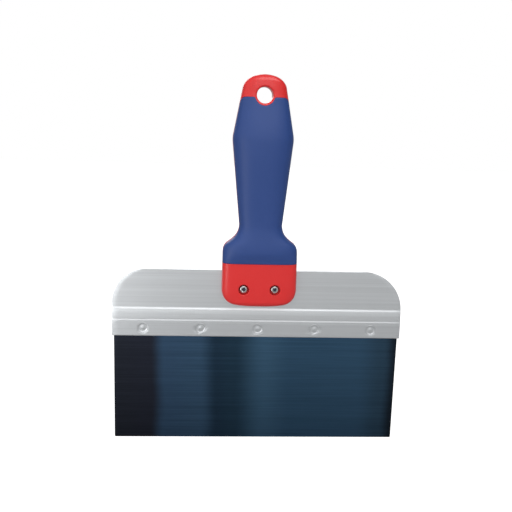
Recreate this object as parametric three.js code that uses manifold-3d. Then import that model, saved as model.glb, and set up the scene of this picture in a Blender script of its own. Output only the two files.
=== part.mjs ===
// Drywall taping knife: a wide blue-steel blade riveted to an aluminium stiffening plate, whose flange is
// screwed into the slotted base of a hard-plastic handle with soft panels moulded over its front and back.
// Millimetres, +Z up, +X to the right, and the knife's front faces -Y. The knife stands upright, blade down.
// Z = 0 is the working edge, X = 0 the middle of the blade, and Y = 0 the middle of the handle and flange.

import * as THREE from "three";
import { mergeVertices } from "three/addons/utils/BufferGeometryUtils.js";
import Module from "manifold-3d";

const wasm = await Module();
wasm.setup();

// ---- driving dimensions -------------------------------------------------------------------------

const GAP = 0.3; // left all round between pieces that are cut to fit one another
const FAR = 60; // longer than any cut needs to be

const BLADE = { width: 203.2, height: 92, thickness: 0.5 };

const PLATE = {
  width: 205,
  bottom: 77.5,
  top: 125.8,
  flange: 1.5, // thickness of the upper flange, which goes into the handle
  ledge: { z: 97.8, rise: 0.9, height: 1.8 }, // a slope where the front steps out
  lowerLedge: { z: 89.4, rise: 0.35, height: 1 }, // and another, where it steps out a little more
  cornerLeft: 25,
  cornerRight: 28,
};

const RIVETS = {
  count: 5,
  pitch: 40.5,
  z: 83.6,
  headRadius: 3.6,
  headDepth: 0.9,
  dome: 0.1,
  shankRadius: 1.6,
  tailRadius: 2.9,
  tailHeight: 1,
};

const SCREWS = {
  spacing: 21.7,
  z: 113.4,
  headRadius: 2.9,
  headHeight: 1.9,
  headTopY: -7.2, // below the base's surface, in a counterbore
  shankRadius: 1.9,
  tipY: 6,
  counterboreRadius: 3.75,
  recess: { length: 3.6, width: 0.9, depth: 1.2 },
};

const HANDLE = {
  bottom: 100.8,
  top: 259.3,
  baseHalfWidth: 26.15,
  collarTop: 138.5, // the sides leave the collar for the shoulders here
  waistHalfWidth: 14.9,
  waistZ: 158,
  swellHalfWidth: 20.9, // where the two straight tapers would cross
  swellZ: 217.2,
  neckHalfWidth: 14.8, // where the upper taper turns into the rounded top
  neckZ: 250.5,
  bottomRound: 4, // rounding of the front and back faces into the two ends
  topRound: 5,
};

// Half thickness from front to back, and how square the section is (2 is an ellipse), at each named height.
const STATIONS = [
  { z: HANDLE.bottom, halfDepth: 8.2, squareness: 5.2 },
  { z: 131, halfDepth: 8.8, squareness: 4.8 }, // top of the bare base
  { z: 140, halfDepth: 10.4, squareness: 3.4 }, // collar
  { z: 158, halfDepth: 9.2, squareness: 2.7 }, // waist
  { z: 215, halfDepth: 12.2, squareness: 2.5 }, // palm swell
  { z: 249, halfDepth: 7.4, squareness: 3.0 }, // beside the hang hole
  { z: HANDLE.top, halfDepth: 6.8, squareness: 3.2 },
];

const HANG_HOLE = { z: 245.7, radius: 5.45, rim: 1.2, bossRadius: 6.8 };

const GRIP = {
  bottom: 131.6,
  top: 244.4,
  thickness: 2.3, // of the soft panel
  seamHalfWidth: 1, // half of the bare band of core that runs down each side
  sideInset: 0.45, // the band stands this far out beyond the soft panels
};

const ROUND_FACETS = 18;
const HANDLE_RINGS = 38;
const HANDLE_FACETS = 24;

// ---- helpers ------------------------------------------------------------------------------------

function solidOf(geometry) {
  const bare = geometry.clone();
  bare.deleteAttribute("normal");
  bare.deleteAttribute("uv");
  const merged = mergeVertices(bare, 1e-4);
  return new wasm.Manifold(
    new wasm.Mesh({
      numProp: 3,
      vertProperties: Float32Array.from(merged.attributes.position.array),
      triVerts: Uint32Array.from(merged.index.array),
    }),
  );
}

function geometryOf(solid) {
  const mesh = solid.getMesh();
  const geometry = new THREE.BufferGeometry();
  geometry.setAttribute("position", new THREE.BufferAttribute(mesh.vertProperties, 3));
  geometry.setIndex(new THREE.BufferAttribute(mesh.triVerts, 1));
  geometry.computeVertexNormals();
  return geometry;
}

// An outline in the XZ plane, extruded from yFront back to yBack.
function extrudeFrontView(outline, yFront, yBack, curveSegments = 8) {
  const depth = yBack - yFront;
  const geometry = new THREE.ExtrudeGeometry(outline, { depth, bevelEnabled: false, curveSegments });
  geometry.rotateX(Math.PI / 2);
  geometry.translate(0, yBack, 0);
  return geometry;
}

// A section in the YZ plane, extruded across X and centred on it.
function extrudeAcross(section, width) {
  const geometry = new THREE.ExtrudeGeometry(section, { depth: width, bevelEnabled: false });
  const toWorld = new THREE.Matrix4().makeBasis(
    new THREE.Vector3(0, 1, 0),
    new THREE.Vector3(0, 0, 1),
    new THREE.Vector3(1, 0, 0),
  );
  geometry.applyMatrix4(toWorld);
  geometry.translate(-width / 2, 0, 0);
  return geometry;
}

// A turned piece whose axis runs front to back. The profile gives [radius, distance towards the front], and
// starts at the axis at the back, so that its faces point outwards.
function turned(profile) {
  const points = profile.map(([radius, height]) => new THREE.Vector2(radius, height));
  return new THREE.LatheGeometry(points, ROUND_FACETS).rotateX(Math.PI);
}

function box(xSize, ySize, zSize, x, y, z) {
  return new THREE.BoxGeometry(xSize, ySize, zSize).translate(x, y, z);
}

function outlineOf(points) {
  return new THREE.Shape(points.map(([x, z]) => new THREE.Vector2(x, z)));
}

function rivetXs() {
  return Array.from({ length: RIVETS.count }, (_, i) => (i - (RIVETS.count - 1) / 2) * RIVETS.pitch);
}

function screwXs() {
  return [-SCREWS.spacing / 2, SCREWS.spacing / 2];
}

function mesh(name, geometry, material) {
  const piece = new THREE.Mesh(geometry, material);
  piece.name = name;
  return piece;
}

// ---- blade, plate and rivets --------------------------------------------------------------------

const plateBackY = PLATE.flange / 2;
const plateFrontY = -PLATE.flange / 2 - PLATE.ledge.rise - PLATE.lowerLedge.rise;
const bladeFrontY = plateBackY + 0.02;
const bladeBackY = bladeFrontY + BLADE.thickness;

function bladeGeometry() {
  const half = BLADE.width / 2;
  const outline = outlineOf([
    [-half, 0],
    [half, 0],
    [half, BLADE.height],
    [-half, BLADE.height],
  ]);
  for (const x of rivetXs()) {
    const hole = new THREE.Path();
    hole.absarc(x, RIVETS.z, RIVETS.shankRadius + GAP, 0, 2 * Math.PI, true);
    outline.holes.push(hole);
  }
  return extrudeFrontView(outline, bladeFrontY, bladeBackY);
}

// The stepped section that runs right across the plate.
function plateSection() {
  const { ledge, lowerLedge } = PLATE;
  const flangeFrontY = -PLATE.flange / 2;
  const bandFrontY = flangeFrontY - ledge.rise;
  return outlineOf([
    [plateBackY, PLATE.bottom],
    [plateBackY, PLATE.top],
    [flangeFrontY, PLATE.top],
    [flangeFrontY, ledge.z + ledge.height / 2],
    [bandFrontY, ledge.z - ledge.height / 2],
    [bandFrontY, lowerLedge.z + lowerLedge.height / 2],
    [plateFrontY, lowerLedge.z - lowerLedge.height / 2],
    [plateFrontY, PLATE.bottom],
  ]);
}

// The plate seen from the front: square at the bottom, with two large rounded corners at the top.
function plateOutline() {
  const { bottom, top, cornerLeft, cornerRight } = PLATE;
  const half = PLATE.width / 2;
  const outline = new THREE.Shape();
  outline.moveTo(-half, bottom);
  outline.lineTo(half, bottom);
  outline.absarc(half - cornerRight, top - cornerRight, cornerRight, 0, Math.PI / 2);
  outline.absarc(-half + cornerLeft, top - cornerLeft, cornerLeft, Math.PI / 2, Math.PI);
  for (const x of screwXs()) {
    const hole = new THREE.Path();
    hole.absarc(x, SCREWS.z, SCREWS.shankRadius + GAP, 0, 2 * Math.PI, true);
    outline.holes.push(hole);
  }
  return outline;
}

// A flush rivet: a low domed head let into the strip, a shank, and a flattened tail on the back of the blade.
// The origin is on the strip's front face. grow makes the same shape larger, to cut its seat.
function rivetGeometry(grow = 0) {
  const { headRadius, headDepth, dome, shankRadius, tailRadius, tailHeight } = RIVETS;
  const tailTop = plateFrontY - bladeBackY - 0.05;
  return turned([
    [0, tailTop - tailHeight],
    [tailRadius - 0.4, tailTop - 0.7 * tailHeight],
    [tailRadius, tailTop],
    [shankRadius + grow, tailTop],
    [shankRadius + grow, -headDepth - grow],
    [headRadius + grow, -headDepth - grow],
    [headRadius + grow, -0.35],
    [headRadius - 0.4 + grow, -0.15 + grow],
    [headRadius * 0.6, grow],
    [0, dome + grow],
  ]);
}

function plateGeometry() {
  let solid = solidOf(extrudeAcross(plateSection(), PLATE.width));
  solid = solid.intersect(solidOf(extrudeFrontView(plateOutline(), -FAR, FAR, 10)));
  const seat = solidOf(rivetGeometry(GAP));
  for (const x of rivetXs()) {
    solid = solid.subtract(seat.translate([x, plateFrontY, RIVETS.z]));
  }
  return geometryOf(solid);
}

// ---- handle -------------------------------------------------------------------------------------

function smoothBetween(z, lower, upper, key) {
  const t = THREE.MathUtils.smoothstep(z, lower.z, upper.z);
  return THREE.MathUtils.lerp(lower[key], upper[key], t);
}

function stationValue(z, key) {
  const upperIndex = STATIONS.findIndex((station, i) => i > 0 && z <= station.z);
  const i = upperIndex < 0 ? STATIONS.length - 1 : upperIndex;
  return smoothBetween(z, STATIONS[i - 1], STATIONS[i], key);
}

// How much thinner the handle is near its two ends, where the faces round over.
function endRounding(z) {
  const drop = (radius, distance) => {
    const inside = Math.max(0, radius - distance);
    return radius - Math.sqrt(radius * radius - inside * inside);
  };
  return drop(HANDLE.bottomRound, z - HANDLE.bottom) + drop(HANDLE.topRound, HANDLE.top - z);
}

// The right-hand side of the handle's outline from the front, from the middle of the bottom edge up to the
// middle of the top.
function handleOutline() {
  const { bottom, top, baseHalfWidth, collarTop, waistHalfWidth, waistZ } = HANDLE;
  const { swellHalfWidth, swellZ, neckHalfWidth, neckZ } = HANDLE;
  const taper = (swellHalfWidth - waistHalfWidth) / (swellZ - waistZ);
  const upperTaper = (swellHalfWidth - neckHalfWidth) / (neckZ - swellZ);
  const swellBlend = 2.6;
  const path = new THREE.Path();
  path.moveTo(1.5, bottom);
  path.quadraticCurveTo(11, bottom, 18, bottom + 1.3);
  path.bezierCurveTo(23, bottom + 2.6, baseHalfWidth, bottom + 6.5, baseHalfWidth, bottom + 12.5);
  path.lineTo(baseHalfWidth - 0.15, collarTop);
  path.bezierCurveTo(baseHalfWidth - 0.15, collarTop + 3.5, 25.2, 143.6, 23.5, 145.4);
  path.bezierCurveTo(18.9, 148.7, 15.3, 151.4, waistHalfWidth, waistZ);
  const blendTopX = swellHalfWidth - upperTaper * swellBlend;
  path.lineTo(swellHalfWidth - taper * swellBlend, swellZ - swellBlend);
  path.quadraticCurveTo(swellHalfWidth, swellZ, blendTopX, swellZ + swellBlend);
  path.lineTo(neckHalfWidth, neckZ);
  path.bezierCurveTo(neckHalfWidth - 0.5, neckZ + 3.1, 11.2, top - 2.2, 6.5, top - 0.9);
  path.quadraticCurveTo(3.5, top - 0.05, 1, top);
  return path;
}

// The handle's whole outer shape, as rings of rounded-square sections stacked up the outline.
// sideInset and faceInset make it narrower and thinner, for the soft panels and for the core below them.
function handleGeometry(sideInset = 0, faceInset = 0) {
  const rings = handleOutline().getSpacedPoints(HANDLE_RINGS);
  const positions = [];
  for (const { x: halfWidth, y: z } of rings) {
    const a = Math.max(0.5, halfWidth - sideInset);
    const b = stationValue(z, "halfDepth") - endRounding(z) - faceInset;
    const power = 2 / stationValue(z, "squareness");
    for (let i = 0; i < HANDLE_FACETS; i += 1) {
      const angle = (2 * Math.PI * i) / HANDLE_FACETS;
      const [c, s] = [Math.cos(angle), Math.sin(angle)];
      positions.push(Math.sign(c) * a * Math.abs(c) ** power, Math.sign(s) * b * Math.abs(s) ** power, z);
    }
  }
  const bottomCentre = positions.length / 3;
  positions.push(0, 0, rings[0].y, 0, 0, rings[rings.length - 1].y);
  const topCentre = bottomCentre + 1;
  const lastRing = (rings.length - 1) * HANDLE_FACETS;
  const index = [];
  for (let i = 0; i < HANDLE_FACETS; i += 1) {
    const next = (i + 1) % HANDLE_FACETS;
    index.push(bottomCentre, next, i, topCentre, lastRing + i, lastRing + next);
    for (let ring = 0; ring < lastRing; ring += HANDLE_FACETS) {
      index.push(ring + i, ring + next, ring + HANDLE_FACETS + next);
      index.push(ring + i, ring + HANDLE_FACETS + next, ring + HANDLE_FACETS + i);
    }
  }
  const geometry = new THREE.BufferGeometry();
  geometry.setAttribute("position", new THREE.Float32BufferAttribute(positions, 3));
  geometry.setIndex(index);
  return geometry;
}

// The space in front of the seam band that the front soft panel fills: straight across at the bottom, notched
// round the hang hole's boss at the top. shrink makes it smaller, for the panel itself.
function gripRegion(shrink = 0) {
  const bossRadius = HANG_HOLE.bossRadius + shrink;
  const top = GRIP.top - shrink;
  const notchX = Math.sqrt(bossRadius ** 2 - (HANG_HOLE.z - top) ** 2);
  const notchAngle = Math.atan2(top - HANG_HOLE.z, notchX);
  const outline = new THREE.Shape();
  outline.moveTo(-FAR, GRIP.bottom + shrink);
  outline.lineTo(FAR, GRIP.bottom + shrink);
  outline.lineTo(FAR, top);
  outline.absarc(0, HANG_HOLE.z, bossRadius, notchAngle, -Math.PI - notchAngle, true);
  outline.lineTo(-FAR, top);
  return solidOf(extrudeFrontView(outline, -FAR, -GRIP.seamHalfWidth - shrink));
}

function coreSolid() {
  return solidOf(handleGeometry(GRIP.thickness, GRIP.thickness));
}

// Straight bore through the handle with a bell-mouthed rim at each face.
function hangHoleCut() {
  const faceY = stationValue(HANG_HOLE.z, "halfDepth");
  const { radius, rim } = HANG_HOLE;
  const wide = radius + rim + 1;
  const cut = turned([
    [0, -FAR],
    [wide, -FAR],
    [wide, -faceY - 1],
    [radius, -faceY + rim],
    [radius, faceY - rim],
    [wide, faceY + 1],
    [wide, FAR],
    [0, FAR],
  ]);
  return solidOf(cut.translate(0, 0, HANG_HOLE.z));
}

function screwCut() {
  const seat = -SCREWS.headTopY - SCREWS.headHeight - GAP;
  const bore = SCREWS.shankRadius + GAP;
  return solidOf(
    turned([
      [0, -SCREWS.tipY - GAP],
      [bore, -SCREWS.tipY - GAP],
      [bore, seat],
      [SCREWS.counterboreRadius, seat],
      [SCREWS.counterboreRadius, FAR],
      [0, FAR],
    ]),
  );
}

function handleCoreGeometry() {
  const pocket = gripRegion().subtract(coreSolid());
  let solid = solidOf(handleGeometry());
  solid = solid.subtract(pocket);
  solid = solid.subtract(pocket.rotate([0, 0, 180]));
  solid = solid.subtract(hangHoleCut());
  const slotTop = PLATE.top + GAP;
  const slot = box(FAR * 2, PLATE.flange + 2 * GAP, slotTop, 0, 0, slotTop / 2);
  solid = solid.subtract(solidOf(slot));
  for (const x of screwXs()) {
    solid = solid.subtract(screwCut().translate([x, 0, SCREWS.z]));
  }
  return geometryOf(solid);
}

function gripGeometry() {
  const outer = solidOf(handleGeometry(GRIP.sideInset, 0));
  const inner = solidOf(handleGeometry(GRIP.thickness - GAP, GRIP.thickness - GAP));
  return geometryOf(outer.intersect(gripRegion(GAP)).subtract(inner));
}

// ---- screws -------------------------------------------------------------------------------------

// A pan-head screw with a cross recess, its origin on the handle's middle plane.
function screwGeometry(recessAngle) {
  const { headRadius, shankRadius, headTopY, headHeight, tipY, recess } = SCREWS;
  const top = -headTopY;
  const seat = top - headHeight;
  let solid = solidOf(
    turned([
      [0, -tipY],
      [0.4, -tipY],
      [shankRadius, -tipY + 2],
      [shankRadius, seat],
      [headRadius, seat],
      [headRadius, top - 1.1],
      [headRadius * 0.85, top - 0.5],
      [headRadius * 0.55, top - 0.1],
      [0, top],
    ]),
  );
  for (const turn of [0, Math.PI / 2]) {
    const slot = box(recess.length, 2 * recess.depth, recess.width, 0, headTopY, 0);
    solid = solid.subtract(solidOf(slot.rotateY(recessAngle + turn)));
  }
  return geometryOf(solid);
}

// ---- materials ----------------------------------------------------------------------------------

function finish(color, roughness, metalness) {
  return new THREE.MeshStandardMaterial({ color, roughness, metalness });
}

const blueSteel = () => finish(0x2a4560, 0.35, 0.9);
const brushedAluminium = () => finish(0xb8babd, 0.4, 1);
const rivetAluminium = () => finish(0xaeb1b4, 0.35, 1);
const redPlastic = () => finish(0xd63a38, 0.4, 0);
const blueRubber = () => finish(0x384f8a, 0.65, 0);
const platedSteel = () => finish(0xc2c4c6, 0.25, 1);

// ---- assembly -----------------------------------------------------------------------------------

const bladeGroup = new THREE.Group();
bladeGroup.add(mesh("blade", bladeGeometry(), blueSteel()));
bladeGroup.add(mesh("back_plate", plateGeometry(), brushedAluminium()));
rivetXs().forEach((x, i) => {
  const rivet = mesh(`rivet_${i + 1}`, rivetGeometry(), rivetAluminium());
  rivet.position.set(x, plateFrontY, RIVETS.z);
  bladeGroup.add(rivet);
});

const handleGroup = new THREE.Group();
handleGroup.add(mesh("handle_core", handleCoreGeometry(), redPlastic()));
handleGroup.add(mesh("grip_front", gripGeometry(), blueRubber()));
const gripBack = mesh("grip_back", gripGeometry(), blueRubber());
gripBack.rotation.z = Math.PI;
handleGroup.add(gripBack);

const [leftX, rightX] = screwXs();
for (const [name, x, recessAngle] of [
  ["screw_left", leftX, 0.3],
  ["screw_right", rightX, 0.75],
]) {
  const screw = mesh(name, screwGeometry(recessAngle), platedSteel());
  screw.position.set(x, 0, SCREWS.z);
  handleGroup.add(screw);
}

const knife = new THREE.Group();
knife.add(bladeGroup, handleGroup);

export default knife;
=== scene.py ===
"""The looks of a drywall taping knife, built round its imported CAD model.

The driving dimensions are the CAD model's own, in millimetres; new_piece() turns them into metres. The knife
stands on its working edge, Z up, with its front towards -Y and the middle of the handle at Y = 0.
"""

import math
from types import SimpleNamespace

import bmesh
import bpy
import numpy as np
from mathutils import Matrix, Vector


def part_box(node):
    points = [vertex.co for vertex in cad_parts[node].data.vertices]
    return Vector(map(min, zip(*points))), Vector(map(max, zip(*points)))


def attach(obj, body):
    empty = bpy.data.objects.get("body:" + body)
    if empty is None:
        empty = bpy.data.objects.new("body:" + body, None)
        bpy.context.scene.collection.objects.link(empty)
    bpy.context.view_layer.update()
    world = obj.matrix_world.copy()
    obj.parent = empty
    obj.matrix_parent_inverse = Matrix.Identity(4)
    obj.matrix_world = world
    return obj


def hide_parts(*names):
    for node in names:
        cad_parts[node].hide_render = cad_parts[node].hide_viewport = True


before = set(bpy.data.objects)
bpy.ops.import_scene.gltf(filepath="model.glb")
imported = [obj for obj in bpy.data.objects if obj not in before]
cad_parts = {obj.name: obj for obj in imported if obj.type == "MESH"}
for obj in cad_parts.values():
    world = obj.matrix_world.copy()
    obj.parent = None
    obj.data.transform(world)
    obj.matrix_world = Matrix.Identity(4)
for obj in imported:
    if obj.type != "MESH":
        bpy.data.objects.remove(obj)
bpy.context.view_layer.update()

# ---- driving dimensions, in millimetres ---------------------------------------------------------

MM = 0.001
CLEARANCE = 0.05  # between pieces that touch on the real knife
FAR = 40  # well outside the handle, from front to back

BLADE = SimpleNamespace(edge_radius=0.12, corner_radius=0.8, grind_height=1.6, grind_depth=0.11)
PLATE = SimpleNamespace(flange=1.5, corner_left=25, corner_right=28, rim_radius=0.25, lip_radius=0.5)
# The plate's front steps out at two ledges. A share of each rise is a short slope about z, and the rest is
# eased out over the run of plate below z. The mesh is finest within near of z, above and below.
LOWER_LEDGE = SimpleNamespace(z=89.4, rise=0.35, slope_share=0.5, slope_height=1.3, run=6, near=0.75)
LEDGE = SimpleNamespace(
    z=97.8,
    rise=0.9,
    slope_share=0.34,
    slope_height=1.8,
    run=97.8 - LOWER_LEDGE.z,
    near=1.35,
)
RIVET = SimpleNamespace(
    z=83.6,
    head_radius=3.6,
    head_depth=0.9,
    dome_radius=2.2,  # of the low dome in the middle of the head
    dome_rise=0.24,
    ring_floor=2.5,  # the pressed ring is level out to this radius, and then turns back up to the head's rim
    ring_wall=0.95,
    shank_radius=1.6,
    tail_radius=2.9,
    tail_height=0.95,
    tail_round=0.9,
)
SCREW = SimpleNamespace(
    spacing=21.7,
    z=113.4,
    head_radius=2.9,
    head_height=1.9,
    head_top_y=-7.2,
    crown_radius=1.4,  # the top is level inside this, and rounded down outside it
    crown_height=1.0,
    shank_radius=1.9,
    thread_depth=0.45,
    thread_pitch=1.1,
    taper=1.2,  # the shank's last stretch runs down to its point
    tip_y=6,
    plate_hole=2.2,
    counterbore_radius=3.75,
    counterbore_rim=0.25,
    seat_y=-5.25,
)
# The cross recess's slots taper from the first half length and half width, above the head, to the second.
RECESS = SimpleNamespace(above=0.5, depth=1.5, mouth=(2.25, 0.66), floor=(0.8, 0.32))
HANDLE = SimpleNamespace(
    bottom=100.8,
    top=259.3,
    base_half_width=26.15,
    collar_top=138.5,
    waist_half_width=14.9,
    waist_z=158,
    swell_half_width=20.9,  # where the two straight tapers would cross
    swell_z=217.2,
    swell_blend=2.6,  # half the height of the curve that joins them
    neck_half_width=14.8,
    neck_z=250.5,
    bottom_round=4,
    top_round=5,
)
# The handle's sections: height, half thickness from front to back, and squareness (2 is an ellipse).
STATION_Z = [HANDLE.bottom, 131, 140, 158, 215, 249, HANDLE.top]
STATION_HALF_DEPTH = [8.2, 8.8, 10.4, 9.2, 12.2, 7.4, 6.8]
STATION_SQUARENESS = [5.2, 4.8, 3.4, 2.7, 2.5, 3.0, 3.2]
HANG_HOLE = SimpleNamespace(z=245.7, radius=5.45, rim=1.2, boss_radius=6.8)
GRIP = SimpleNamespace(
    bottom=131.6,
    top=244.4,
    thickness=2.3,
    seam_half_width=1,
    side_inset=0.03,  # the core's bare band stands this far out beyond the panels at the sides
    proud=0.3,  # the panels stand this far out beyond the core in front
    rim_radius=0.7,
    ear_radius=1.9,  # corners beside the hang hole's boss
    top_corner=6.5,
    bottom_corner=1.0,
)
SLOT_HALF_DEPTH = PLATE.flange / 2 + CLEARANCE
ALUMINIUM = (0.745, 0.77, 0.79)

# ---- meshes -------------------------------------------------------------------------------------


def new_piece(name, points, faces):
    """A mesh object from points in millimetres, with its normals made to point outwards."""
    mesh = bpy.data.meshes.new(name)
    mesh.from_pydata((np.asarray(points, float) * MM).tolist(), [], faces)
    shape = bmesh.new()
    shape.from_mesh(mesh)
    bmesh.ops.recalc_face_normals(shape, faces=shape.faces)
    shape.to_mesh(mesh)
    shape.free()
    piece = bpy.data.objects.new(name, mesh)
    bpy.context.scene.collection.objects.link(piece)
    return piece


def loft(name, rings):
    """A closed body through rings of as many points each, with a flat face at both ends."""
    rings = np.asarray(rings, float)
    count, sides, _ = rings.shape
    index = np.arange(count * sides).reshape(count, sides)
    beside = np.roll(index, -1, axis=1)
    faces = np.stack([index[:-1], beside[:-1], beside[1:], index[1:]], axis=-1).reshape(-1, 4).tolist()
    faces.append(index[0][::-1].tolist())
    faces.append(index[-1].tolist())
    return new_piece(name, rings.reshape(-1, 3), faces)


def circle_ring(x, z, radius, y, sides):
    """A ring of points round an axis that runs from front to back. y may differ from point to point."""
    angle = np.linspace(0, 2 * math.pi, sides, endpoint=False)
    y = np.broadcast_to(y, sides)
    return np.column_stack([x + radius * np.cos(angle), y, z + radius * np.sin(angle)])


def turned(name, x, z, profile, sides=72):
    """A turned body from (radius, y) pairs, front to back, round an axis at x, z."""
    smallest = 0.02
    return loft(name, [circle_ring(x, z, max(radius, smallest), y, sides) for radius, y in profile])


def cut(piece, cutter, operation="DIFFERENCE"):
    """Cuts piece with cutter, and removes the cutter."""
    step = piece.modifiers.new("cut", "BOOLEAN")
    step.operation = operation
    step.solver = "MANIFOLD"
    step.object = cutter
    apply_modifiers(piece)
    bpy.data.objects.remove(cutter)


def drill(piece, x, z, radius):
    """Makes a hole right through a piece, from front to back."""
    cut(piece, turned("hole", x, z, [(radius, -FAR), (radius, FAR)], sides=48))


def apply_modifiers(piece):
    """Gives a piece the mesh that its modifiers make, and removes them."""
    shape = piece.evaluated_get(bpy.context.evaluated_depsgraph_get())
    mesh = bpy.data.meshes.new_from_object(shape)
    piece.modifiers.clear()
    old = piece.data
    piece.data = mesh
    bpy.data.meshes.remove(old)
    mesh.name = piece.name


def shade(piece, sharp_from=35):
    piece.data.shade_smooth()
    piece.data.set_sharp_from_angle(angle=math.radians(sharp_from))


def finish_piece(piece, node, material, sharp_from=35):
    """Shades a piece, gives it its material, puts it under the root body, and hides the CAD node that it
    stands for.
    """
    shade(piece, sharp_from)
    piece.data.materials.clear()
    piece.data.materials.append(material)
    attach(piece, "root")
    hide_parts(node)


def smoothstep(t):
    t = np.clip(t, 0, 1)
    return t * t * (3 - 2 * t)


def corner_drop(radius, distance):
    """How far a round of this radius lies below its face, at this distance from the edge."""
    inside = np.clip(radius - np.asarray(distance, float), 0, radius)
    return radius - np.sqrt(radius**2 - inside**2)


# ---- thin sheets: the blade and the plate -------------------------------------------------------


SHEET_COLUMNS = 48  # spaces between the points along a sheet's front


def sheet_ring(z, left, right, front, back, radius):
    """A level section of a sheet: a rectangle with rounded corners, and evenly spaced points along its faces.
    The points go round from the left end of the front."""
    turn = np.linspace(0, math.pi / 2, 5)
    across = np.linspace(0, 1, SHEET_COLUMNS + 1)[1:-1]
    inner_left, inner_right = left + radius, right - radius
    reach = inner_right - inner_left
    corners = [
        (inner_left, front + radius, math.pi),
        (inner_right, front + radius, 1.5 * math.pi),
        (inner_right, back - radius, 0),
        (inner_left, back - radius, 0.5 * math.pi),
    ]
    points = []
    for i, (x, y, start) in enumerate(corners):
        points += [(x + radius * math.cos(start + t), y + radius * math.sin(start + t), z) for t in turn]
        if i == 0:
            points += [(inner_left + reach * t, front, z) for t in across]
        if i == 2:
            points += [(inner_right - reach * t, back, z) for t in across]
    return points


def blade_piece():
    """The blade, thinned towards its working edge, with holes for the rivets."""
    low, high = (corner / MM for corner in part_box("blade"))
    fine = np.linspace(0, 1, 9)
    levels = np.unique(np.concatenate([fine * BLADE.corner_radius, fine * BLADE.grind_height, high.z * fine]))
    levels = levels + low.z
    rings = []
    for z in levels:
        rise = z - low.z
        side = corner_drop(BLADE.corner_radius, rise)
        ground = BLADE.grind_depth * max(0, 1 - rise / BLADE.grind_height)
        left, right = low.x + side, high.x - side
        front, back = low.y + ground, high.y - ground
        rings.append(sheet_ring(z, left, right, front, back, BLADE.edge_radius))
    blade = loft("blade_fine", rings)
    for node in rivet_nodes():
        drill(blade, centre_x(node), RIVET.z, RIVET.shank_radius + CLEARANCE)
    return blade


def stepped(z, ledge):
    """How far a ledge has brought the plate's front out at height z."""
    slope = smoothstep((ledge.z - z) / ledge.slope_height + 0.5)
    ease = 1 - (1 - np.clip((ledge.z - z) / ledge.run, 0, 1)) ** 2
    return ledge.rise * (ledge.slope_share * slope + (1 - ledge.slope_share) * ease)


def plate_front(z):
    """The plate's front face, which stands further forward below each ledge."""
    return -PLATE.flange / 2 - stepped(z, LEDGE) - stepped(z, LOWER_LEDGE)


def rivet_nodes():
    return sorted(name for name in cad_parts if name.startswith("rivet_"))


def centre_x(node):
    low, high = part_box(node)
    return (low.x + high.x) / 2 / MM


def plate_piece():
    """The plate, with seats for the rivets' heads and holes for the screws."""
    low, high = (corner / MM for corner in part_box("back_plate"))
    round_up = np.sin(np.linspace(0, math.pi / 2, 33))
    straight_top = high.z - PLATE.corner_right
    levels = [low.z + PLATE.lip_radius * (1 - np.cos(np.linspace(0, math.pi / 2, 7)))]
    levels.append(np.linspace(low.z + 1, straight_top, 12))
    for ledge in (LEDGE, LOWER_LEDGE):
        levels.append(ledge.z + ledge.near * np.linspace(-1, 1, 19))
    levels.append(np.arange(LOWER_LEDGE.z - LOWER_LEDGE.run, LEDGE.z, 0.4))
    levels.append(straight_top + PLATE.corner_right * round_up)
    levels.append(high.z - PLATE.corner_left + PLATE.corner_left * round_up)
    levels.append(high.z - PLATE.rim_radius * (1 - np.cos(np.linspace(0, math.pi / 2, 5))))
    rings = []
    for z in np.unique(np.concatenate(levels).round(4)):
        left = low.x + corner_drop(PLATE.corner_left, high.z - z)
        right = high.x - corner_drop(PLATE.corner_right, high.z - z)
        top_round = corner_drop(PLATE.rim_radius, high.z - z)
        lip = corner_drop(PLATE.lip_radius, z - low.z)
        back_lip = corner_drop(PLATE.rim_radius, z - low.z)
        front = plate_front(z) + top_round + lip
        back = high.y - top_round - back_lip
        rings.append(sheet_ring(z, left, right, front, back, PLATE.rim_radius))
    plate = loft("back_plate_fine", rings)
    strip_y = plate_front(low.z + 2)
    head, shank = RIVET.head_radius + CLEARANCE, RIVET.shank_radius + CLEARANCE
    rim = 0.04  # the seat's mouth is rounded over about this much
    seat_profile = [
        (head + 2 * rim, strip_y - 1),
        (head + 1.5 * rim, strip_y),
        (head + 0.4 * rim, strip_y + 0.5 * rim),
        (head, strip_y + 1.5 * rim),
        (head, strip_y + RIVET.head_depth),
        (shank, strip_y + RIVET.head_depth),
        (shank, FAR),
    ]
    for node in rivet_nodes():
        cut(plate, turned("seat", centre_x(node), RIVET.z, seat_profile))
    for x in screw_xs():
        drill(plate, x, SCREW.z, SCREW.plate_hole)
    return plate


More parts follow.
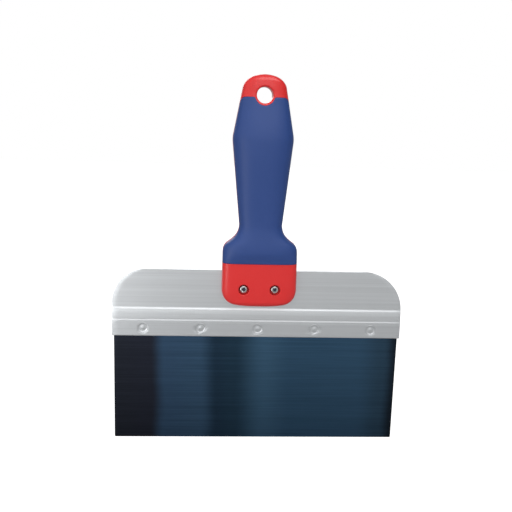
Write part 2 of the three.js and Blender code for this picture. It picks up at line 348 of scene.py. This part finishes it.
def rivet_piece(node):
    """A rivet, with a ring pressed into its head round a low dome, and a flattened tail behind the blade."""
    face_y = plate_front(RIVET.z)
    tail_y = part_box("blade")[1].y / MM
    radius = np.concatenate([np.linspace(0, RIVET.dome_radius, 12), np.linspace(2.45, 3.5, 14)])
    dome = RIVET.dome_rise * smoothstep(radius / RIVET.dome_radius)
    wall = smoothstep((radius - RIVET.ring_floor) / RIVET.ring_wall)
    profile = [(r, face_y + d * (1 - w)) for r, d, w in zip(radius, dome, wall)]
    under_head_y = face_y + RIVET.head_depth - CLEARANCE
    tail_foot_y = tail_y + 0.02  # just clear of the blade's back
    chamfer = 0.15
    profile += [
        (RIVET.head_radius, face_y + 0.1),
        (RIVET.head_radius, under_head_y),
        (RIVET.shank_radius, under_head_y),
        (RIVET.shank_radius, tail_foot_y),
        (RIVET.tail_radius - chamfer, tail_foot_y),
    ]
    for t in np.linspace(0, math.pi / 2, 9):
        out = RIVET.tail_radius - RIVET.tail_round + RIVET.tail_round * math.cos(t)
        profile.append((out, tail_y + chamfer + (RIVET.tail_height - chamfer) * math.sin(t)))
    profile.append((0.8, tail_y + RIVET.tail_height + 0.03))
    profile.append((0, tail_y + RIVET.tail_height - 0.05))  # the punch's mark in the middle
    return turned(f"{node}_fine", centre_x(node), RIVET.z, profile)


# ---- handle -------------------------------------------------------------------------------------


def bezier(controls, steps=24):
    """Points along a Bezier curve of any degree, after its first point."""
    t = np.linspace(0, 1, steps + 1)[1:, None]
    degree = len(controls) - 1
    terms = [
        math.comb(degree, i) * (1 - t) ** (degree - i) * t**i * np.array(point, float)
        for i, point in enumerate(controls)
    ]
    return sum(terms)


def handle_outline():
    """The handle's right side from the front, (x, z), from the middle of its bottom edge to that of its top.
    Each stretch is the controls of a curve that starts where the one before it ends."""
    h = HANDLE
    collar_x = h.base_half_width - 0.15
    taper = (h.swell_half_width - h.waist_half_width) / (h.swell_z - h.waist_z)
    upper_taper = (h.swell_half_width - h.neck_half_width) / (h.neck_z - h.swell_z)
    blend = h.swell_blend
    path = [np.array([[1.5, h.bottom]])]
    stretches = [
        [(11, h.bottom), (18, h.bottom + 1.3)],
        [(23, h.bottom + 2.6), (h.base_half_width, h.bottom + 6.5), (h.base_half_width, h.bottom + 12.5)],
        [(collar_x, h.collar_top)],
        [(collar_x, h.collar_top + 3.5), (25.2, 143.6), (23.5, 145.4)],
        [(18.9, 148.7), (15.3, 151.4), (h.waist_half_width, h.waist_z)],
        [(h.swell_half_width - taper * blend, h.swell_z - blend)],
        [(h.swell_half_width, h.swell_z), (h.swell_half_width - upper_taper * blend, h.swell_z + blend)],
        [(h.neck_half_width, h.neck_z)],
        [(h.neck_half_width - 0.5, h.neck_z + 3.1), (11.2, h.top - 2.2), (6.5, h.top - 0.9)],
        [(3.5, h.top - 0.05), (1, h.top)],
    ]
    for controls in stretches:
        path.append(bezier([path[-1][-1], *controls]))
    return np.vstack(path)


OUTLINE = handle_outline()


def station(z, values):
    """A section's value at height z, blended smoothly between the named stations."""
    upper = np.clip(np.searchsorted(STATION_Z, z), 1, len(STATION_Z) - 1)
    low_z, high_z = np.take(STATION_Z, upper - 1), np.take(STATION_Z, upper)
    low, high = np.take(values, upper - 1), np.take(values, upper)
    return low + (high - low) * smoothstep((z - low_z) / (high_z - low_z))


def half_depth_at(z):
    bottom_drop = corner_drop(HANDLE.bottom_round, z - HANDLE.bottom)
    top_drop = corner_drop(HANDLE.top_round, HANDLE.top - z)
    return station(z, STATION_HALF_DEPTH) - (bottom_drop + top_drop)


def half_width_at(z):
    return np.interp(z, OUTLINE[:, 1], OUTLINE[:, 0])


def front_y(x, z):
    """The handle's front surface."""
    squareness = station(z, STATION_SQUARENESS)
    across = np.clip(np.abs(x) / half_width_at(z), 0, 1)
    return -half_depth_at(z) * (1 - across**squareness) ** (1 / squareness)


def quarters(z, half_width, half_depth, from_y=0.0):
    """For each height, the front right quarter of its section, from from_y on the side to the middle of the
    front: x, y and the distance along it, a row for each height."""
    power = (2 / station(z, STATION_SQUARENESS))[:, None]
    start = np.arcsin((from_y / half_depth[:, None]) ** (1 / power))
    angle = start + (math.pi / 2 - start) * np.linspace(0, 1, 321)
    x = half_width[:, None] * np.cos(angle).clip(0) ** power
    y = -half_depth[:, None] * np.sin(angle).clip(0) ** power
    steps = np.hypot(np.diff(x), np.diff(y))
    along = np.concatenate([np.zeros((len(z), 1)), np.cumsum(steps, axis=1)], axis=1)
    return x, y, along


def at_share(curves, share):
    """The points at a share of the way along each curve."""
    x, y, along = curves
    wanted = share * along[:, -1]
    k = np.clip((along <= wanted[:, None]).sum(axis=1) - 1, 0, along.shape[1] - 2)
    row = np.arange(len(k))
    t = (wanted - along[row, k]) / (along[row, k + 1] - along[row, k])
    return tuple(value[row, k] + t * (value[row, k + 1] - value[row, k]) for value in (x, y))


def handle_loft(name, ring_count=260, quarter_steps=40):
    """The handle's whole outer shape, as rings spaced evenly along its outline."""
    steps = np.hypot(*np.diff(OUTLINE, axis=0).T)
    along = np.concatenate([[0], np.cumsum(steps)])
    wanted = np.linspace(0, along[-1], ring_count)
    half_width = np.interp(wanted, along, OUTLINE[:, 0])
    z = np.interp(wanted, along, OUTLINE[:, 1])
    curves = quarters(z, half_width, half_depth_at(z))
    shares = np.linspace(0, 1, quarter_steps + 1)
    x, y = (np.column_stack(c) for c in zip(*[at_share(curves, np.full(ring_count, s)) for s in shares]))
    x = np.hstack([x, -x[:, -2::-1], -x[:, 1:], x[:, -2:0:-1]])
    y = np.hstack([y, y[:, -2::-1], -y[:, 1:], -y[:, -2:0:-1]])
    return loft(name, np.stack([x, y, np.broadcast_to(z[:, None], x.shape)], axis=-1))


def grip_top_z(x, clearance):
    """The panel's top edge from the front: level, then rounded down into a notch round the hang hole."""
    x = np.abs(x)
    boss = HANG_HOLE.boss_radius + clearance
    ear = GRIP.ear_radius - clearance
    top = GRIP.top - clearance
    ear_x = math.sqrt((boss + ear) ** 2 - (HANG_HOLE.z - top + ear) ** 2)
    touch_x = ear_x * boss / (boss + ear)
    on_boss = HANG_HOLE.z - np.sqrt(np.clip(boss**2 - x**2, 0, None))
    on_ear = top - ear + np.sqrt(np.clip(ear**2 - (ear_x - x) ** 2, 0, None))
    return np.where(x < touch_x, on_boss, np.where(x < ear_x, on_ear, top))


def grip_grid(clearance):
    """The panel's outer and inner surfaces as two grids, and how far the rim's rounding sinks each outer
    point. The grids' rows go up, and their columns from the right seam across the front to the left seam."""
    rim = GRIP.rim_radius
    rim_steps = rim * (1 - np.cos(np.linspace(0, math.pi / 2, 7)))
    seam = GRIP.seam_half_width + clearance

    def surface(z, place=None, share=None, side_inset=GRIP.side_inset, face_inset=-GRIP.proud):
        curves = quarters(z, half_width_at(z) - side_inset, half_depth_at(z) - face_inset, seam)
        total = curves[2][:, -1]
        if share is None:
            share = np.where(place < 1, place * rim / total, rim / total)
            share = share + np.where(place < 1, 0, (place - 1) * (1 - rim / total))
        x, y = at_share(curves, share)
        return x, y, share, total

    # A column's place is 0 to 1 across the rim and 1 to 2 from there to the middle of the front.
    column = np.concatenate([rim_steps / rim, 1 + np.linspace(0, 1, 61)[1:]])
    # Where a column crosses the top edge depends on the height there, so the heights are found step by step.
    top = np.full(len(column), GRIP.top - clearance)
    for _ in range(40):
        x, _, share, total = surface(top, column)
        from_seam = share * total
        corner = corner_drop(GRIP.top_corner, from_seam)
        top = 0.5 * top + 0.5 * (grip_top_z(x, clearance) - corner)
    bottom = GRIP.bottom + clearance + corner_drop(GRIP.bottom_corner, from_seam)
    slope = np.gradient(top, from_seam)
    steepness = np.minimum(np.hypot(1, slope), 4)  # keeps the rim's width where the top edge slopes
    inner_rows = np.linspace(0, 1, 141)[1:-1, None]
    low = bottom + rim_steps[:, None]
    high = top - rim_steps[::-1, None] * steepness
    z = np.vstack([low, low[-1] + (high[0] - low[-1]) * inner_rows, high])
    rows, columns = z.shape
    places = np.broadcast_to(column, z.shape).ravel()
    x, y, share, _ = surface(z.ravel(), places)
    outer = np.stack([x, y, z.ravel()], axis=-1).reshape(rows, columns, 3)
    inset = GRIP.thickness + clearance
    x, y, _, _ = surface(z.ravel(), share=share, side_inset=inset, face_inset=inset)
    inner = np.stack([x, y, z.ravel()], axis=-1).reshape(rows, columns, 3)
    row_edge = np.full(rows, rim)
    row_edge[: len(rim_steps)] = rim_steps
    row_edge[-len(rim_steps) :] = rim_steps[::-1]
    column_edge = np.full(columns, rim)
    column_edge[: len(rim_steps)] = rim_steps
    past_rim = np.hypot(rim - row_edge[:, None], rim - column_edge[None, :])
    sink = rim - np.sqrt(np.clip(rim**2 - past_rim**2, 0, None))
    outer, inner = (np.concatenate([grid, grid[:, -2::-1] * (-1, 1, 1)], axis=1) for grid in (outer, inner))
    return outer, inner, np.concatenate([sink, sink[:, -2::-1]], axis=1)


def shell(name, outer, inner):
    """A closed body between two grids of the same size."""
    rows, columns, _ = outer.shape
    index = np.arange(rows * columns).reshape(rows, columns)
    quads = np.stack([index[:-1, :-1], index[:-1, 1:], index[1:, 1:], index[1:, :-1]], axis=-1)
    quads = quads.reshape(-1, 4)
    border = np.concatenate([index[0, :-1], index[:-1, -1], index[-1, :0:-1], index[:0:-1, 0]])
    beside = np.roll(border, -1)
    count = rows * columns
    walls = np.stack([border, beside, beside + count, border + count], axis=-1)
    faces = np.concatenate([quads, quads[:, ::-1] + count, walls]).tolist()
    points = np.concatenate([outer.reshape(-1, 3), inner.reshape(-1, 3)])
    return new_piece(name, points, faces)


def grip_piece(name):
    """A soft panel for the front, with its edge rounded over."""
    outer, inner, sink = grip_grid(CLEARANCE)
    inwards = inner - outer
    inwards = inwards / np.linalg.norm(inwards, axis=-1, keepdims=True)
    return shell(name, outer + inwards * sink[..., None], inner)


def pocket_cutter():
    """The space in the core that a panel fills, carried on outwards through the core's surface."""
    outer, inner, _ = grip_grid(0)
    return shell("pocket", inner + (outer - inner) * 1.5, inner)


def mouth_rings(x, z, radius, rim, sides):
    """The mouth of a hole in the handle's front: rings from outside it, round the rim's curve, to where the
    hole is straight."""
    angle = np.linspace(0, 2 * math.pi, sides, endpoint=False)
    edge = radius + rim
    edge_y = front_y(x + edge * np.cos(angle), z + edge * np.sin(angle))
    # The first two rings are wider than the mouth and lie outside the handle.
    rings = [circle_ring(x, z, edge + 0.5, y, sides) for y in (-FAR, edge_y - 0.16)]
    for t in np.linspace(0, math.pi / 2, 9):
        rings.append(circle_ring(x, z, edge - rim * math.sin(t), edge_y + rim * (1 - math.cos(t)), sides))
    return rings


def hang_hole_cutter():
    """The hang hole, with a rounded mouth at both ends."""
    rings = mouth_rings(0, HANG_HOLE.z, HANG_HOLE.radius, HANG_HOLE.rim, 120)
    back = [ring * (1, -1, 1) for ring in reversed(rings)]
    return loft("bore", rings + back)


def screw_xs():
    """Where the two screws are across the handle."""
    return -SCREW.spacing / 2, SCREW.spacing / 2


def screw_cutter(x):
    """A counterbore for a screw's head, and the blind pilot hole for its shank."""
    sides = 72
    pilot = SCREW.shank_radius + CLEARANCE
    rings = mouth_rings(x, SCREW.z, SCREW.counterbore_radius, SCREW.counterbore_rim, sides)
    rings.append(circle_ring(x, SCREW.z, SCREW.counterbore_radius, SCREW.seat_y, sides))
    rings.append(circle_ring(x, SCREW.z, pilot, SCREW.seat_y, sides))
    rings.append(circle_ring(x, SCREW.z, pilot, SCREW.tip_y + CLEARANCE, sides))
    return loft("screw_hole", rings)


def box_piece(name, x_half, y_half, z_low, z_high):
    corners = [(-x_half, -y_half), (x_half, -y_half), (x_half, y_half), (-x_half, y_half)]
    return loft(name, [[(x, y, z) for x, y in corners] for z in (z_low, z_high)])


def core_piece():
    """The hard core: the handle's whole shape, less what the other pieces take up and the hang hole."""
    core = handle_loft("handle_core_fine")
    for turn in (0, math.pi):
        pocket = pocket_cutter()
        pocket.data.transform(Matrix.Rotation(turn, 4, "Z"))
        cut(core, pocket)
    cut(core, hang_hole_cutter())
    slot_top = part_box("back_plate")[1].z / MM + CLEARANCE
    cut(core, box_piece("slot", 2 * FAR, SLOT_HALF_DEPTH, HANDLE.bottom - FAR, slot_top))
    for x in screw_xs():
        cut(core, screw_cutter(x))
    return core


# ---- screws -------------------------------------------------------------------------------------


def recess_cutter(x, turn):
    """A cross recess: two crossed tapered slots with a pointed middle, turned about the screw's axis."""
    top_y, floor_y = SCREW.head_top_y - RECESS.above, SCREW.head_top_y + RECESS.depth
    cutters = []
    for quarter in (0, math.pi / 2):
        rings = []
        for y, (length, width) in ((top_y, RECESS.mouth), (floor_y, RECESS.floor)):
            corners = [(-length, -width), (length, -width), (length, width), (-length, width)]
            rings.append([(px, y, pz) for px, pz in corners])
        slot = loft("recess", rings)
        slot.data.transform(Matrix.Rotation(turn + quarter, 4, "Y"))
        slot.data.transform(Matrix.Translation((x * MM, 0, SCREW.z * MM)))
        cutters.append(slot)
    cross, other = cutters
    cut(cross, other, "UNION")
    point_profile = [(1.25, top_y), (0.95, SCREW.head_top_y + 0.9), (0, floor_y + 0.3)]
    cut(cross, turned("point", x, SCREW.z, point_profile, 40), "UNION")
    return cross


def screw_piece(name, x, turn):
    """A pan-head screw, with ridges round its shank in place of a thread."""
    top, seat = SCREW.head_top_y, SCREW.head_top_y + SCREW.head_height
    crown, round_width = SCREW.crown_radius, SCREW.head_radius - SCREW.crown_radius
    chamfer = 0.1
    profile = [(0, top), (0.9, top + 0.015)]
    for t in np.linspace(0.3, math.pi / 2, 10):
        profile.append((crown + round_width * math.sin(t), top + SCREW.crown_height * (1 - math.cos(t))))
    profile += [(SCREW.head_radius, seat - chamfer), (SCREW.head_radius - chamfer, seat)]
    root = SCREW.shank_radius - SCREW.thread_depth
    profile.append((root, seat))
    pitch = SCREW.thread_pitch
    ridge = seat + 0.6
    taper_y = SCREW.tip_y - SCREW.taper
    while ridge + pitch < taper_y:
        profile += [(root, ridge), (SCREW.shank_radius, ridge + 0.4 * pitch), (root, ridge + 0.8 * pitch)]
        ridge += pitch
    profile += [(root, taper_y), (0, SCREW.tip_y)]
    screw = turned(name, x, SCREW.z, profile)
    cut(screw, recess_cutter(x, turn))
    edges = screw.modifiers.new("edges", "BEVEL")
    edges.width = 0.05 * MM
    edges.segments = 2
    edges.limit_method = "ANGLE"
    edges.angle_limit = math.radians(40)
    apply_modifiers(screw)
    return screw


# ---- materials ----------------------------------------------------------------------------------


class Look:
    """A material under construction: its node tree, its shader and short ways to add nodes."""

    def __init__(self, name, **shader_values):
        self.material = bpy.data.materials.new(name)
        self.material.use_nodes = True
        self.tree = self.material.node_tree
        self.shader = self.tree.nodes["Principled BSDF"]
        for socket, value in shader_values.items():
            self.shader.inputs[socket.replace("_", " ")].default_value = value
        self.place = self.node("ShaderNodeTexCoord").outputs["Object"]

    def node(self, kind, links=None, values=None, **settings):
        """Adds a node. links and values are keyed by its inputs, and settings are its own properties."""
        made = self.tree.nodes.new(kind)
        for key, value in settings.items():
            setattr(made, key, value)
        for key, value in (values or {}).items():
            made.inputs[key].default_value = value
        for key, socket in (links or {}).items():
            self.tree.links.new(socket, made.inputs[key])
        return made

    def noise(self, per_metre, detail=2.0, roughness=0.5):
        """Noise with about this many features for each metre along X, Y and Z."""
        mapping = self.node("ShaderNodeMapping", {"Vector": self.place}, {"Scale": per_metre})
        values = {"Scale": 1.0, "Detail": detail, "Roughness": roughness}
        return self.node("ShaderNodeTexNoise", {"Vector": mapping.outputs[0]}, values).outputs["Fac"]

    def span(self, socket, from_low, from_high, low, high):
        """The value, moved from one range to another and held inside it."""
        values = {"From Min": from_low, "From Max": from_high, "To Min": low, "To Max": high}
        return self.node("ShaderNodeMapRange", {"Value": socket}, values).outputs["Result"]

    def along(self, axis, low, high, socket=None):
        """0 to 1 between two places on an axis, in metres."""
        parts = self.node("ShaderNodeSeparateXYZ", {"Vector": socket or self.place})
        return self.span(parts.outputs[axis], low, high, 0, 1)

    def ramp(self, socket, stops, interpolation="EASE"):
        """A colour for each value, through (position, linear colour) stops."""
        made = self.node("ShaderNodeValToRGB", {"Fac": socket})
        made.color_ramp.interpolation = interpolation
        elements = made.color_ramp.elements
        while len(elements) < len(stops):
            elements.new(0.5)
        for element, (position, colour) in zip(elements, stops):
            element.position = position
            element.color = (*colour, 1)
        return made.outputs["Color"]

    def mix(self, factor, one, other, blend="MIX"):
        """Mixes two colours. factor, one and other are sockets or plain values."""
        made = self.node("ShaderNodeMix", data_type="RGBA", blend_type=blend)
        colour_a, colour_b = made.inputs[6], made.inputs[7]
        for socket, value in ((made.inputs["Factor"], factor), (colour_a, one), (colour_b, other)):
            if isinstance(value, bpy.types.NodeSocket):
                self.tree.links.new(value, socket)
            elif isinstance(value, (int, float)):
                socket.default_value = value
            else:
                socket.default_value = (*value, 1)
        return made.outputs[2]

    def math(self, operation, one, other):
        """Arithmetic on two sockets or plain numbers."""
        made = self.node("ShaderNodeMath", operation=operation)
        for socket, value in zip(made.inputs, (one, other)):
            if isinstance(value, bpy.types.NodeSocket):
                self.tree.links.new(value, socket)
            else:
                socket.default_value = value
        return made.outputs[0]

    def scaled(self, colour, factor):
        """A colour made lighter or darker by a value."""
        grey = self.node("ShaderNodeCombineColor", {"Red": factor, "Green": factor, "Blue": factor})
        return self.mix(1.0, colour, grey.outputs[0], "MULTIPLY")

    def colour(self, socket):
        self.tree.links.new(socket, self.shader.inputs["Base Color"])

    def roughness(self, socket):
        self.tree.links.new(socket, self.shader.inputs["Roughness"])

    def bump(self, height, depth_mm, strength=1.0):
        """Relief of about depth_mm from a 0 to 1 height. Later calls add to earlier ones."""
        values = {"Strength": strength, "Distance": depth_mm * MM}
        made = self.node("ShaderNodeBump", {"Height": height}, values)
        normal = self.shader.inputs["Normal"]
        if normal.is_linked:
            self.tree.links.new(normal.links[0].from_socket, made.inputs["Normal"])
        self.tree.links.new(made.outputs[0], normal)


def blue_steel():
    """Blue tempered spring steel, finely brushed across its width. Its upright bands from near black to blue
    are painted reflections of the studio, and it has painted shade towards the bottom.
    """
    look = Look("blue_steel", Metallic=1.0)
    wander = look.span(look.noise((9, 1, 14), 3), 0.3, 0.7, -0.012, 0.012)  # of the bands' edges
    low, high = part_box("blade")
    across = look.along("X", low.x, high.x)
    # The bands are painted reflections: lighter and darker stripes where the studio's lamps and dark sides
    # would show in the steel.
    painted_reflection_bands = look.ramp(
        look.math("ADD", across, wander),
        [
            (0.00, (0.025, 0.029, 0.041)),
            (0.125, (0.026, 0.030, 0.045)),
            (0.175, (0.047, 0.094, 0.168)),
            (0.30, (0.050, 0.103, 0.178)),
            (0.36, (0.022, 0.048, 0.083)),
            (0.42, (0.024, 0.055, 0.092)),
            (0.53, (0.059, 0.132, 0.219)),
            (0.63, (0.044, 0.103, 0.179)),
            (0.86, (0.046, 0.106, 0.183)),
            (0.955, (0.036, 0.076, 0.124)),
            (1.00, (0.015, 0.022, 0.033)),
        ],
    )
    fine = look.noise((14, 14, 2600), 3, 0.6)
    coarse = look.noise((7, 7, 520), 2)
    fine_streaks = look.span(fine, 0.25, 0.75, 0.8, 1.2)
    coarse_streaks = look.span(coarse, 0.3, 0.7, 0.92, 1.08)
    streaks = look.math("MULTIPLY", fine_streaks, coarse_streaks)
    # Painted shade: the steel is painted darker towards its bottom edge.
    painted_shade_below = look.span(look.along("Z", 0.0, 0.07), 0, 1, 0.72, 1.05)
    look.colour(look.scaled(painted_reflection_bands, look.math("MULTIPLY", streaks, painted_shade_below)))
    look.roughness(look.span(fine, 0.25, 0.75, 0.3, 0.46))
    look.bump(fine, 0.006)
    return look.material


def brushed_aluminium(name, tone, lines=1.0):
    """Satin aluminium with the faint lengthways lines that drawing through a die leaves. Below the plate's
    ledges it is painted a little darker, as painted shade."""
    look = Look(name, Metallic=1.0)
    fine = look.noise((5, 5, 2200), 3, 0.55)
    die_lines = look.noise((0.8, 3, 330), 4, 0.7)
    patches = look.noise((30, 30, 12), 2)
    streaks = look.math(
        "MULTIPLY",
        look.span(fine, 0.25, 0.75, 1 - 0.04 * lines, 1 + 0.04 * lines),
        look.span(die_lines, 0.3, 0.7, 1 - 0.06 * lines, 1 + 0.05 * lines),
    )
    tones = look.mix(patches, tuple(0.97 * c for c in tone), tone)
    # Painted shade: the colour is painted darker below the plate's ledges, and on the rivets there.
    painted_shade_below_ledges = look.span(look.along("Z", LOWER_LEDGE.z * MM, LEDGE.z * MM), 0, 1, 0.925, 1)
    look.colour(look.scaled(tones, look.math("MULTIPLY", streaks, painted_shade_below_ledges)))
    look.roughness(look.span(fine, 0.25, 0.75, 0.34, 0.46))
    look.bump(fine, 0.004)
    look.bump(die_lines, 0.01)
    return look.material


def red_plastic():
    """Semi-gloss moulded plastic with a fine spark-eroded texture and slight waves."""
    look = Look("red_plastic", IOR=1.5)
    cloud = look.noise((40, 40, 40), 3)
    grain = look.noise((2600, 2600, 2600), 2)
    waves = look.noise((70, 70, 70), 1)
    look.colour(look.mix(cloud, (0.69, 0.021, 0.022), (0.76, 0.028, 0.027)))
    look.roughness(look.span(grain, 0.3, 0.7, 0.27, 0.34))
    look.bump(grain, 0.003)
    look.bump(waves, 0.03)
    return look.material


def blue_grip():
    """Soft-touch elastomer: matt, with a fine even grain and faint clouds of lighter blue."""
    look = Look("blue_grip", IOR=1.45)
    cloud = look.noise((26, 26, 26), 4)
    grain = look.noise((3200, 3200, 3200), 2)
    look.colour(look.mix(cloud, (0.019, 0.055, 0.216), (0.0255, 0.066, 0.242)))
    look.roughness(look.span(cloud, 0.3, 0.7, 0.42, 0.5))
    look.bump(grain, 0.01)
    return look.material


def plated_steel():
    """Bright zinc plating with a few handling marks, and painted shade deep in the recess and low on the
    head.
    """
    look = Look("plated_steel", Metallic=1.0)
    tint = look.noise((420, 420, 420), 3)
    plating = look.mix(tint, (0.50, 0.54, 0.58), (0.66, 0.65, 0.60))
    face_y = SCREW.head_top_y * MM
    # Painted shade: the plating is painted dark deep in the cross recess and low on the head's side.
    depth = look.along("Y", face_y + 0.45 * MM, face_y + 1.1 * MM)
    look.colour(look.mix(depth, plating, (0.10, 0.12, 0.16)))
    marks = look.noise((1500, 1500, 1500), 3)
    look.roughness(look.span(marks, 0.3, 0.7, 0.2, 0.34))
    look.bump(marks, 0.006)
    return look.material


# ---- studio -------------------------------------------------------------------------------------


# Angles are in degrees: to the right, down, and round the line of sight.
CAMERA = SimpleNamespace(place=(-0.0316, -0.4809, 0.2298), yaw=3.46, pitch=11.02, roll=1.71, lens=49.35)
FLOOR_TONE = (0.45, 0.45, 0.45)
FLOOR_GLOW = 0.9  # for the camera only
ALL_ROUND_LIGHT = 0.13
# The world is brighter towards these directions. A glow fades out where the cosine of the angle from its
# middle is low_edge.
WORLD_GLOWS = (
    SimpleNamespace(towards=(-0.32, -0.85, 0.35), low_edge=-0.1, strength=0.8),
    SimpleNamespace(towards=(0, 1, 0.2), low_edge=0.3, strength=0.45),
)


def make_camera():
    """Looks a little down at the knife, from slightly to its left."""
    data = bpy.data.cameras.new("camera")
    data.sensor_width = 36
    data.lens = CAMERA.lens
    camera = bpy.data.objects.new("camera", data)
    turn = Matrix.Rotation(-math.radians(CAMERA.yaw), 4, "Z")
    turn = turn @ Matrix.Rotation(math.pi / 2 - math.radians(CAMERA.pitch), 4, "X")
    turn = turn @ Matrix.Rotation(math.radians(CAMERA.roll), 4, "Z")
    camera.matrix_world = Matrix.Translation(CAMERA.place) @ turn
    bpy.context.scene.collection.objects.link(camera)
    bpy.context.scene.camera = camera


def make_floor():
    """A pale floor, bright enough to read as white."""
    half = 3.0
    corners = [(-half, -half, 0), (half, -half, 0), (half, half, 0), (-half, half, 0)]
    mesh = bpy.data.meshes.new("floor")
    mesh.from_pydata(corners, [], [(0, 1, 2, 3)])
    floor = bpy.data.objects.new("floor", mesh)
    bpy.context.scene.collection.objects.link(floor)
    look = Look("floor", Roughness=0.9)
    look.shader.inputs["Base Color"].default_value = (*FLOOR_TONE, 1)
    look.shader.inputs["Emission Color"].default_value = (1, 1, 1, 1)
    seen = look.node("ShaderNodeLightPath").outputs["Is Camera Ray"]
    look.tree.links.new(look.math("MULTIPLY", seen, FLOOR_GLOW), look.shader.inputs["Emission Strength"])
    mesh.materials.append(look.material)


def make_world():
    """Soft light from all round, strongest from the front, the left and above, against a white backdrop."""
    world = bpy.data.worlds.new("studio")
    bpy.context.scene.world = world
    world.use_nodes = True
    nodes, links = world.node_tree.nodes, world.node_tree.links
    direction = nodes.new("ShaderNodeTexCoord").outputs["Generated"]
    total = nodes.new("ShaderNodeValue").outputs[0]
    total.default_value = ALL_ROUND_LIGHT
    for glow in WORLD_GLOWS:
        facing = nodes.new("ShaderNodeVectorMath")
        facing.operation = "DOT_PRODUCT"
        facing.inputs[1].default_value = Vector(glow.towards).normalized()
        links.new(direction, facing.inputs[0])
        strength = nodes.new("ShaderNodeMapRange")
        strength.interpolation_type = "SMOOTHSTEP"
        strength.inputs["From Min"].default_value = glow.low_edge
        strength.inputs["To Max"].default_value = glow.strength
        links.new(facing.outputs["Value"], strength.inputs["Value"])
        both = nodes.new("ShaderNodeMath")
        links.new(total, both.inputs[0])
        links.new(strength.outputs["Result"], both.inputs[1])
        total = both.outputs[0]
    light, backdrop = nodes["Background"], nodes.new("ShaderNodeBackground")
    for background in (light, backdrop):
        background.inputs["Color"].default_value = (1, 1, 1, 1)
    links.new(total, light.inputs["Strength"])
    seen = nodes.new("ShaderNodeLightPath").outputs["Is Camera Ray"]
    choice = nodes.new("ShaderNodeMixShader")
    for socket, output in zip(choice.inputs, (seen, light.outputs[0], backdrop.outputs[0])):
        links.new(output, socket)
    links.new(choice.outputs[0], nodes["World Output"].inputs["Surface"])


def add_softbox(name, azimuth, elevation, size, radiance, distance=1.4):
    """A soft light of this width and height, aimed at the knife. An azimuth of 0 is straight in front of it,
    and a positive one is to its right."""
    data = bpy.data.lights.new(name, "AREA")
    data.shape = "RECTANGLE"
    data.size, data.size_y = size
    data.energy = radiance * math.pi * data.size * data.size_y
    lamp = bpy.data.objects.new(name, data)
    turn, rise = math.radians(azimuth), math.radians(elevation)
    outwards = Vector((math.sin(turn) * math.cos(rise), -math.cos(turn) * math.cos(rise), math.sin(rise)))
    lamp.location = Vector((0, 0, 0.13)) + distance * outwards
    lamp.rotation_mode = "QUATERNION"
    lamp.rotation_quaternion = outwards.to_track_quat("Z", "Y")
    lamp.visible_camera = False
    bpy.context.scene.collection.objects.link(lamp)


# ---- assembly -----------------------------------------------------------------------------------

make_camera()
make_world()
make_floor()
add_softbox("front", azimuth=2, elevation=20, size=(0.7, 0.4), radiance=1.0)
add_softbox("top", azimuth=25, elevation=60, size=(1.1, 0.9), radiance=2.9)
add_softbox("behind", azimuth=195, elevation=22, size=(0.8, 0.6), radiance=2.4)
add_softbox("low_left", azimuth=-43, elevation=-5, size=(0.13, 0.2), radiance=3.2, distance=0.42)
bpy.context.scene.view_settings.view_transform = "Standard"

finish_piece(blade_piece(), "blade", blue_steel())
plate_look = brushed_aluminium("brushed_aluminium", ALUMINIUM)
finish_piece(plate_piece(), "back_plate", plate_look)
rivet_look = brushed_aluminium("rivet_metal", ALUMINIUM, lines=0.4)
for rivet_node in rivet_nodes():
    finish_piece(rivet_piece(rivet_node), rivet_node, rivet_look)

finish_piece(core_piece(), "handle_core", red_plastic())
grip_look = blue_grip()
for side, side_turn in (("front", 0), ("back", math.pi)):
    grip = grip_piece(f"grip_{side}_fine")
    grip.data.transform(Matrix.Rotation(side_turn, 4, "Z"))
    finish_piece(grip, f"grip_{side}", grip_look)

screw_look = plated_steel()
for side, screw_x, recess_turn in zip(("left", "right"), screw_xs(), (0.3, 0.75)):
    screw = screw_piece(f"screw_{side}_fine", screw_x, recess_turn)
    finish_piece(screw, f"screw_{side}", screw_look)
